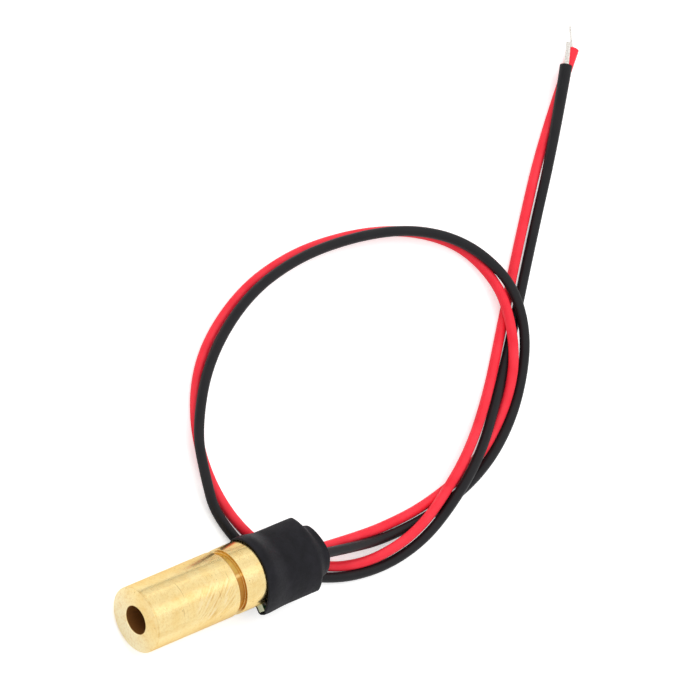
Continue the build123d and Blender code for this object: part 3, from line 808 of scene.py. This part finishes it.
def sleeve():
    """Shrunk sleeve: outer and inner skins joined by rounded lips, with a slightly uneven skin."""
    lip = SLEEVE_WALL / 2
    rear = SLEEVE_HIGH.y - lip
    shares = [i / QUARTER_STEPS for i in range(QUARTER_STEPS)]
    way = [(1, True, share) for share in shares]
    way += [(0, True, 1 - share) for share in shares]
    way += [(0, False, share) for share in shares]
    way += [(1, False, 1 - share) for share in shares]
    fronts = [rim_y(outline_point(SLEEVE_LOW.y, 0, *turn)) + lip for turn in way]
    lips = [pi * share for share in LIP_TURNS]

    def ring(share, inset, bulge):
        points = []
        for front, turn in zip(fronts, way):
            points.append(outline_point(blend(front, rear, share) + bulge, inset, *turn))
        return points

    rings = [ring(i / SLEEVE_STEPS, 0, 0) for i in range(SLEEVE_STEPS + 1)]
    rings += [ring(1, lip * (1 - cos(a)), lip * sin(a)) for a in lips]
    rings += [ring(1 - i / SLEEVE_STEPS, SLEEVE_WALL, 0) for i in range(SLEEVE_STEPS + 1)]
    rings += [ring(0, lip * (1 + cos(a)), -lip * sin(a)) for a in lips]
    bm = bmesh.new()
    skin_rings(bm, rings, closed=True)
    bmesh.ops.recalc_face_normals(bm, faces=bm.faces)
    bm.normal_update()
    for vert in bm.verts:
        swell = noise.fractal(vert.co / SKIN_GRAIN, *SKIN_OCTAVES)
        vert.co += vert.normal * SKIN_DEPTH * rise(vert.co.y, *SKIN_FREE) * min(swell, 0)
    sleeve_fold(bm)
    return mesh_object("shrunk_sleeve", bm, shrink_tube())


def round_curve(name, thickness, smoothness, material):
    """Empty curve with a round section and closed ends."""
    curve = bpy.data.curves.new(name, "CURVE")
    curve.dimensions = "3D"
    curve.bevel_depth = thickness / 2
    curve.bevel_resolution = smoothness
    curve.use_fill_caps = True
    curve.materials.append(material)
    return curve


def lead(name, route, swelling, material):
    """A lead: a smooth spline with the route's points as its control points, swollen at its end."""
    curve = round_curve(name, LEAD_DIAMETER, LEAD_SMOOTHNESS, material)
    spline = curve.splines.new("NURBS")
    spline.points.add(len(route) - 1)
    for point, place in zip(spline.points, route):
        point.co = (*place, 1)
        point.radius = LEAD_SWELL
    spline.points[-1].radius = LEAD_SWELL + swelling
    spline.order_u = SPLINE_ORDER
    spline.use_endpoint_u = True
    spline.resolution_u = SPLINE_STEPS
    return link_object(name, curve)


def bare_end(name, route, material, lean, shift, length, count, spread, thickness):
    """Bare strands that stand out of a lead's cut end, twisted round each other and leaning over."""
    end = Vector(route[-1])
    upward = Vector((0, 0, 1))
    toward = (end - Vector(route[-2])).normalized()
    start = end + toward.cross(upward).normalized() * shift
    toward.rotate(Quaternion(upward, lean))
    side = toward.cross(upward).normalized()
    over = side.cross(toward)
    curve = round_curve(name, thickness, STRAND_SMOOTHNESS, material)
    for strand in range(count):
        spline = curve.splines.new("POLY")
        spline.points.add(STRAND_STEPS)
        for step, point in enumerate(spline.points):
            share = step / STRAND_STEPS
            turn = 2 * pi * (strand / count + STRAND_TURNS * share)
            loose = spread * (1 + STRAND_BULGE * sin(STRAND_WAVE * share + strand))
            place = start + toward * length * share + (side * cos(turn) + over * sin(turn)) * loose
            point.co = (*place, 1)
            point.radius = 1 - STRAND_TAPER * share**6
    return link_object(name, curve)


def make_floor():
    """Plain white floor under the lowest point of the leads; it keeps the object's shadow."""
    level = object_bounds()[0][2]
    bm = bmesh.new()
    corners = [(-1, -1), (1, -1), (1, 1), (-1, 1)]
    bm.faces.new([bm.verts.new((x * FLOOR_REACH, y * FLOOR_REACH, level)) for x, y in corners])
    paper = Finish("floor_paper", FLOOR_WHITE, roughness=0.8, specular=0.1)
    grain = paper.noise(paper.place(), 0.02, 2.0, 0.5)
    paper.set("Base Color", paper.mix(grain, FLOOR_WHITE, FLOOR_PALER))
    path = paper.node("LightPath").outputs
    seen = paper.times(path["Is Camera Ray"], FLOOR_SEEN_GLOW)
    mirrored = paper.maths("MAXIMUM", path["Is Glossy Ray"], path["Is Transmission Ray"])
    paper.set("Emission Color", (1, 1, 1, 1))
    paper.set("Emission Strength", paper.maths("ADD", seen, paper.times(mirrored, FLOOR_MIRRORED_GLOW)))
    floor = mesh_object("floor", bm, paper.material)


def make_surround():
    """White surrounding. In mirrors it is dim at the left horizon and behind the lamp, bright above."""
    world = bpy.data.worlds.new("surround")
    bpy.context.scene.world = world
    world.use_nodes = True
    sky = Nodes(world.node_tree)
    heading = sky.node("TexCoord").outputs["Generated"]
    x, _, z = sky.axes(heading)
    left = sky.spread(x, -0.1, -0.4)
    horizon = sky.times(sky.window(z, -0.05, 0.07, 0.03), HORIZON_DIM)
    left_side = sky.times(sky.maths("MAXIMUM", horizon, LEFT_DIM), left)
    aside = sky.node("VectorMath", (heading, LAMP_SIDE), operation="DOT_PRODUCT").outputs["Value"]
    behind_lamp = sky.spread(aside, 0.75, 0.81, 0.0, BEHIND_LAMP_DIM)
    stripe = sky.times(sky.window(x, -0.2, 0.2, 0.1), sky.spread(z, 0.4, 0.6, 0.0, STRIPE_LIFT))
    dim = sky.maths("SUBTRACT", sky.maths("MAXIMUM", left_side, behind_lamp), stripe)

    path = sky.node("LightPath").outputs
    mirrored = sky.times(path["Is Glossy Ray"], sky.maths("SUBTRACT", MIRRORED_SKY, dim))
    seen = sky.maths("MAXIMUM", path["Is Camera Ray"], path["Is Transmission Ray"])
    other = sky.times(sky.maths("SUBTRACT", 1.0, path["Is Glossy Ray"]),
                      sky.spread(seen, 0.0, 1.0, MATT_SKY, 1.0))
    shader = sky.tree.nodes["Background"]
    shader.inputs["Color"].default_value = (1, 1, 1, 1)
    sky.feed(shader.inputs["Strength"], sky.maths("ADD", mirrored, other))


def make_lamp():
    """One broad round lamp."""
    light = bpy.data.lights.new("soft_lamp", "AREA")
    light.shape = "DISK"
    light.size = LAMP_SIZE
    light.energy = LAMP_ENERGY
    lamp = link_object("soft_lamp", light)
    lamp.location = LAMP_PLACE
    lamp.rotation_mode = "QUATERNION"
    lamp.rotation_quaternion = LAMP_SIDE.to_track_quat("Z", "Y")


bpy.context.scene.view_settings.view_transform = "Standard"
make_camera()

lead_red = lead_skin("lead_red", linear(250, 52, 68), linear(240, 38, 56), 0.36)
lead_black = lead_skin("lead_black", linear(26, 25, 28), linear(33, 32, 34), 0.42)
bare_wire = metal("bare_wire", linear(252, 250, 246), linear(212, 206, 196), 0.46, 9.0)

red_lead = lead("red_lead_line", RED_ROUTE, RED_END_SWELL, lead_red)
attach(red_lead, "root")
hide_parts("red_lead")
black_lead = lead("black_lead_line", BLACK_ROUTE, BLACK_END_SWELL, lead_black)
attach(black_lead, "root")
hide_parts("black_lead")
red_strand = bare_end("red_lead_bare_strand", RED_ROUTE, bare_wire, lean=radians(26), shift=-0.22 * MM,
                      length=2.15 * MM, count=2, spread=0.04 * MM, thickness=0.15 * MM)
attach(red_strand, "root")
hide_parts("red_lead_strand")
black_tip = bare_end("black_lead_bare_end", BLACK_ROUTE, bare_wire, lean=radians(4), shift=0.0,
                     length=2.25 * MM, count=7, spread=0.14 * MM, thickness=0.16 * MM)
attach(black_tip, "root")
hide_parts("black_lead_tip")

brass_barrel = barrel()
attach(brass_barrel, "root")
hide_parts("barrel")
shrunk_sleeve = sleeve()
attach(shrunk_sleeve, "root")
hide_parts("sleeve")

# Materials of the solids that stay as they are
glass = clear_glass("lens_glass", linear(236, 243, 246), 0.02)
seal = moulded("seal_glass", linear(62, 82, 70), linear(88, 108, 94), 0.12, 6.0)
gilt = metal("gilt", linear(226, 198, 124), linear(196, 160, 84), 0.3, 3.0)
tinned = metal("tinned_copper", linear(214, 212, 206), linear(176, 172, 164), 0.32, 6.0)
package = moulded("package_black", linear(38, 38, 42), linear(52, 52, 56), 0.5, 8.0)
glaze = moulded("resistor_glaze", linear(36, 33, 30), linear(58, 54, 50), 0.3, 5.0)
finishes = {
    "collimating_lens": glass,
    "diode_window": glass,
    "lens_spring": metal("spring_steel", linear(176, 177, 180), linear(132, 132, 134), 0.3, 4.0),
    "diode_holder": metal("inner_brass", linear(214, 176, 100), linear(184, 140, 66), 0.35, 2.0),
    "diode_stem": gilt,
    "diode_cap": metal("nickel", linear(196, 194, 188), linear(160, 158, 150), 0.3, 3.0),
    "monitor_pin": gilt,
    "laser_pin": gilt,
    "common_pin": gilt,
    "laser_chip": moulded("laser_die", linear(58, 62, 74), linear(92, 96, 110), 0.2, 6.0),
    "monitor_photodiode": moulded("monitor_die", linear(48, 52, 70), linear(80, 84, 104), 0.2, 6.0),
    "monitor_pin_seal": seal,
    "laser_pin_seal": seal,
    "circuit_board": board_lacquer(),
    "drive_transistor": package,
    "sense_transistor": package,
    "drive_transistor_legs": tinned,
    "sense_transistor_legs": tinned,
    "limit_resistor": glaze,
    "bias_resistor": glaze,
    "sense_resistor": glaze,
    "filter_capacitor": moulded("capacitor_tan", linear(164, 132, 96), linear(184, 152, 112), 0.35, 4.0),
    "pin_solder_joints": tinned,
    "lead_solder_joints": tinned,
    "black_lead_core": tinned,
    "red_lead_core": tinned,
    "black_lead_root": lead_black,
    "red_lead_root": lead_red,
}
for node, finish in finishes.items():
    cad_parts[node].material_slots[0].material = finish

make_floor()
make_surround()
make_lamp()
